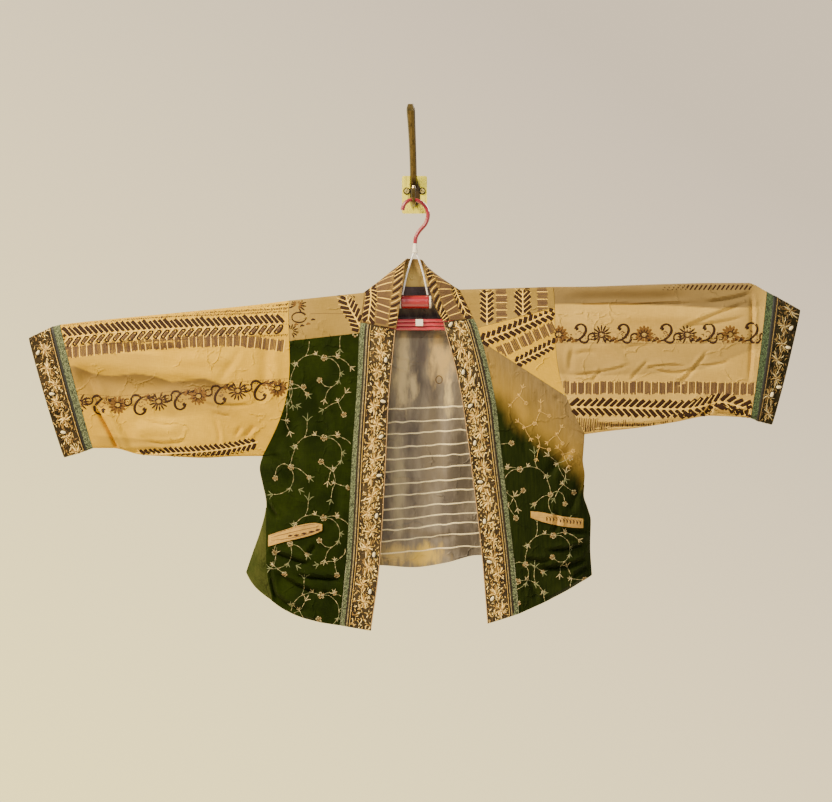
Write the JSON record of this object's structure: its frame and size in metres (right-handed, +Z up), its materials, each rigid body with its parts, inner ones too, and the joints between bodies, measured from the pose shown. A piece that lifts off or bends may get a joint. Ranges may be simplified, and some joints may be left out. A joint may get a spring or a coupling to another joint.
{
  "type": "kimono jacket on a hanger and wall hook",
  "caption": "Cropped open-front patchwork kimono jacket with wide sleeves and beaded trim, hanging flat on a red hanger from a brass wall hook.",
  "frame": {"origin": "middle of the back face of the wall hook's plate", "axes": "+X to the viewer's right along the sleeves, +Y into the wall, +Z up"},
  "size_m": [1.2723, 0.0792, 0.8577],
  "materials": {
    "print_silk": "tan silk with brown block-printed leaf and scroll bands",
    "moss_crepe": "moss green crepe with fine vine embroidery",
    "ombre_crepe": "crepe dyed from mustard gold to deep green, with vine embroidery",
    "olive_crepe": "plain olive crepe",
    "inner_silk": "grey-taupe tie-dyed silk with slim cream stripes",
    "braid": "sage green woven braid",
    "piping": "dark corded piping with a gold line",
    "brocade": "dense gold and cream floral brocade on a dark ground, with small beads",
    "welt_silk": "peach-beige silk with a row of dark stitches",
    "brass": "aged brass with brown patina",
    "red_coating": "glossy red coating",
    "ivory_plastic": "ivory moulded plastic",
    "white_wire": "white coated wire"
  },
  "bodies": {
    "root": {"back": "olive_crepe", "back_lining": "inner_silk", "side_left": "olive_crepe", "front_left": "moss_crepe", "front_right": "ombre_crepe", "yoke_left": "print_silk", "yoke_right": "print_silk", "chest_patch_right": "print_silk", "neck_band": "print_silk", "sleeve_left": "print_silk", "sleeve_right": "print_silk", "cuff_braid_left": "braid", "cuff_braid_right": "braid", "cuff_piping_left": "piping", "cuff_piping_right": "piping", "cuff_brocade_left": "brocade", "cuff_brocade_right": "brocade", "band_braid_left": "braid", "band_braid_right": "braid", "band_piping_left": "piping", "band_piping_right": "piping", "band_brocade_left": "brocade", "band_brocade_right": "brocade", "welt_left": "welt_silk", "welt_right": "welt_silk", "hook_plate": "brass", "hook_upper_prong": "brass", "hook_lower_prong": "brass", "hook_screw_left": "brass", "hook_screw_right": "brass", "hanger_hook": "red_coating", "hanger_neck": "ivory_plastic", "hanger_strut_left": "white_wire", "hanger_strut_right": "white_wire", "hanger_tube": "red_coating", "hanger_cap_left": "ivory_plastic", "hanger_cap_right": "ivory_plastic", "hanger_arm_left": "red_coating", "hanger_arm_right": "red_coating", "hanger_bar_upper": "red_coating", "hanger_bar_middle": "red_coating", "hanger_bar_lower": "red_coating", "hanger_post_left": "red_coating", "hanger_post_right": "red_coating", "hanger_clip": "ivory_plastic"}
  },
  "joints": []
}
